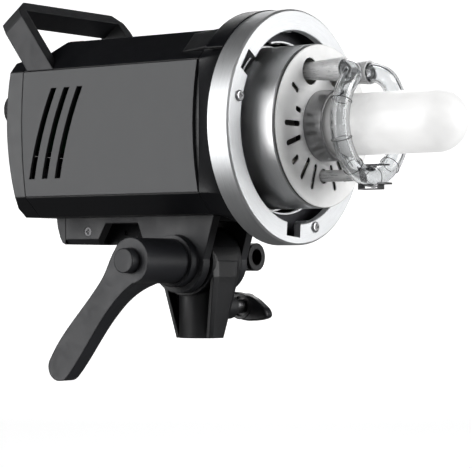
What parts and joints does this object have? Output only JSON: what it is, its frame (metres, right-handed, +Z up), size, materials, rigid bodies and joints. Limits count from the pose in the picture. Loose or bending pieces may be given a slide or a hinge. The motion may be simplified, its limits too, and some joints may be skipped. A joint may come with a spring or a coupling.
{
  "type": "studio flash head",
  "caption": "Studio monolight strobe with a bayonet ring, frosted modelling lamp, ring flash tube, bail handle and a tilting stand bracket with a long clamp lever and umbrella holder.",
  "frame": {"origin": "centre of the stand socket's mouth, at the bottom of the bracket", "axes": "+X forward along the lamp axis, +Z up, -Y towards the clamp lever"},
  "size_m": [0.283, 0.1306, 0.2134],
  "materials": {
    "black_plastic": "matte",
    "grey_panel": "satin",
    "handle_plastic": "fine texture",
    "cast_black": "fine texture",
    "lever_grey": "fine texture",
    "steel": "bright",
    "dark_steel": "satin",
    "brass": "satin",
    "ring_aluminium": "satin",
    "bright_aluminium": "polished",
    "white_plate": "satin",
    "collar_grey": "satin",
    "lamp_frosted": "frosted",
    "tube_glass": "clear",
    "ceramic_white": "matte",
    "red_window": "gloss",
    "board_green": "satin",
    "rubber_black": "matte",
    "display_glass": "gloss",
    "button_grey": "satin",
    "knob_plastic": "satin"
  },
  "bodies": {
    "bracket": {"stand_bracket": "cast_black", "pivot_bush": "brass", "friction_washers": "dark_steel"},
    "head": {"foot_frame": "cast_black", "foot_end_cap": "black_plastic", "foot_screws": "dark_steel", "clamp_nut": "steel", "umbrella_tube": "cast_black", "body_shell": "black_plastic", "side_panel_left": "grey_panel", "side_panel_right": "grey_panel", "front_cover": "black_plastic", "rear_cover": "black_plastic", "case_screws": "dark_steel", "sensor_window": "red_window", "handle": "handle_plastic", "bayonet_ring": "ring_aluminium", "ring_screws": "steel", "bayonet_plate": "steel", "lock_spring": "steel", "lamp_drum": "bright_aluminium", "face_plate": "white_plate", "lamp_collar": "collar_grey", "lampholder": "ceramic_white", "tube_sockets": "ceramic_white", "flash_capacitors": "black_plastic", "power_board": "board_green", "control_board": "board_green", "fan_frame": "black_plastic", "control_panel": "black_plastic", "display_window": "display_glass", "mains_inlet": "black_plastic", "fuse_holder": "black_plastic", "sync_jack": "steel"},
    "clamp_pad": {"clamp_pad": "brass"},
    "stand_knob": {"stand_knob": "knob_plastic", "stand_knob_stud": "steel"},
    "clamp_lever": {"clamp_lever": "lever_grey", "clamp_bolt": "steel", "lever_spring": "steel"},
    "lever_button": {"lever_button": "black_plastic"},
    "umbrella_lock_pad": {"umbrella_lock_pad": "brass"},
    "umbrella_lock_screw": {"umbrella_lock_screw": "knob_plastic"},
    "release_slider": {"release_slider": "black_plastic"},
    "lock_pin": {"lock_pin": "steel"},
    "modelling_lamp": {"lamp_glass": "lamp_frosted", "lamp_base": "brass"},
    "flash_tube": {"flash_tube_glass": "tube_glass", "flash_tube_legs": "lamp_frosted", "flash_tube_electrodes": "steel", "trigger_wire": "steel"},
    "fan_rotor": {"fan_rotor": "black_plastic"},
    "dial": {"dial": "rubber_black"},
    "button_model": {"button_model": "button_grey"},
    "button_buzz": {"button_buzz": "button_grey"},
    "button_slave": {"button_slave": "button_grey"},
    "button_test": {"button_test": "button_grey"},
    "power_rocker": {"power_rocker": "black_plastic"},
    "fuse_cap": {"fuse_cap": "black_plastic", "fuse": "tube_glass"}
  },
  "joints": [
    {"name": "head_tilt", "type": "hinge", "parent": "bracket", "child": "head", "pos_m": [0, 0, 0.0426], "axis": [0, 1, 0], "range_deg": [-75, 70]},
    {"name": "clamp_pad_slide", "type": "slide", "parent": "bracket", "child": "clamp_pad", "axis": [0, 1, 0], "range_m": [-0.0005, 0.005]},
    {"name": "stand_knob_turn", "type": "hinge", "parent": "clamp_pad", "child": "stand_knob", "pos_m": [0, 0.038, 0.017], "axis": [0, 1, 0], "range_deg": [-144.5, 1441]},
    {"name": "lever_turn", "type": "hinge", "parent": "head", "child": "clamp_lever", "pos_m": [0, -0.055, 0.0426], "axis": [0, 1, 0], "range_deg": [-60, 60]},
    {"name": "lever_button_press", "type": "slide", "parent": "clamp_lever", "child": "lever_button", "axis": [0, 1, 0], "range_m": [0, 0.003], "stiffness_N_per_m": 900, "springref_m": -0.002},
    {"name": "umbrella_pad_slide", "type": "slide", "parent": "head", "child": "umbrella_lock_pad", "axis": [0, 1, 0], "range_m": [-0.00133, 0.0028]},
    {"name": "umbrella_screw_turn", "type": "hinge", "parent": "umbrella_lock_pad", "child": "umbrella_lock_screw", "pos_m": [0, 0.045, 0.045], "axis": [0, 1, 0], "range_deg": [-600, 1261]},
    {"name": "release_slide", "type": "slide", "parent": "head", "child": "release_slider", "axis": [-1, 0, 0], "range_m": [0, 0.005], "stiffness_N_per_m": 500, "springref_m": -0.003},
    {"name": "lock_pin_slide", "type": "slide", "parent": "head", "child": "lock_pin", "axis": [-1, 0, 0], "range_m": [0, 0.00501]},
    {"name": "modelling_lamp_pull", "type": "slide", "parent": "head", "child": "modelling_lamp", "axis": [1, 0, 0], "range_m": [0, 0.03]},
    {"name": "flash_tube_pull", "type": "slide", "parent": "head", "child": "flash_tube", "axis": [1, 0, 0], "range_m": [0, 0.03]},
    {"name": "fan_spin", "type": "hinge", "parent": "head", "child": "fan_rotor", "pos_m": [-0.0545, 0, 0.1144], "axis": [1, 0, 0], "continuous": true},
    {"name": "dial_turn", "type": "hinge", "parent": "head", "child": "dial", "pos_m": [-0.105, -0.029, 0.1298], "axis": [1, 0, 0], "continuous": true},
    {"name": "button_model_press", "type": "slide", "parent": "head", "child": "button_model", "axis": [1, 0, 0], "range_m": [0, 0.0008], "stiffness_N_per_m": 1500, "springref_m": -0.0004},
    {"name": "button_buzz_press", "type": "slide", "parent": "head", "child": "button_buzz", "axis": [1, 0, 0], "range_m": [0, 0.0008], "stiffness_N_per_m": 1500, "springref_m": -0.0004},
    {"name": "button_slave_press", "type": "slide", "parent": "head", "child": "button_slave", "axis": [1, 0, 0], "range_m": [0, 0.0008], "stiffness_N_per_m": 1500, "springref_m": -0.0004},
    {"name": "button_test_press", "type": "slide", "parent": "head", "child": "button_test", "axis": [1, 0, 0], "range_m": [0, 0.0008], "stiffness_N_per_m": 1500, "springref_m": -0.0004},
    {"name": "power_rocker_tilt", "type": "hinge", "parent": "head", "child": "power_rocker", "pos_m": [-0.0965, -0.0035, 0.0914], "axis": [0, 1, 0], "range_deg": [0, 16]},
    {"name": "fuse_cap_pull", "type": "slide", "parent": "head", "child": "fuse_cap", "axis": [-1, 0, 0], "range_m": [0, 0.03]}
  ],
  "couplings": [
    {"joint": "stand_knob_turn", "follows": "clamp_pad_slide", "rad_per_m": 5026.5},
    {"joint": "umbrella_screw_turn", "follows": "umbrella_pad_slide", "rad_per_m": 7854},
    {"joint": "lock_pin_slide", "follows": "release_slide", "ratio": 1}
  ]
}
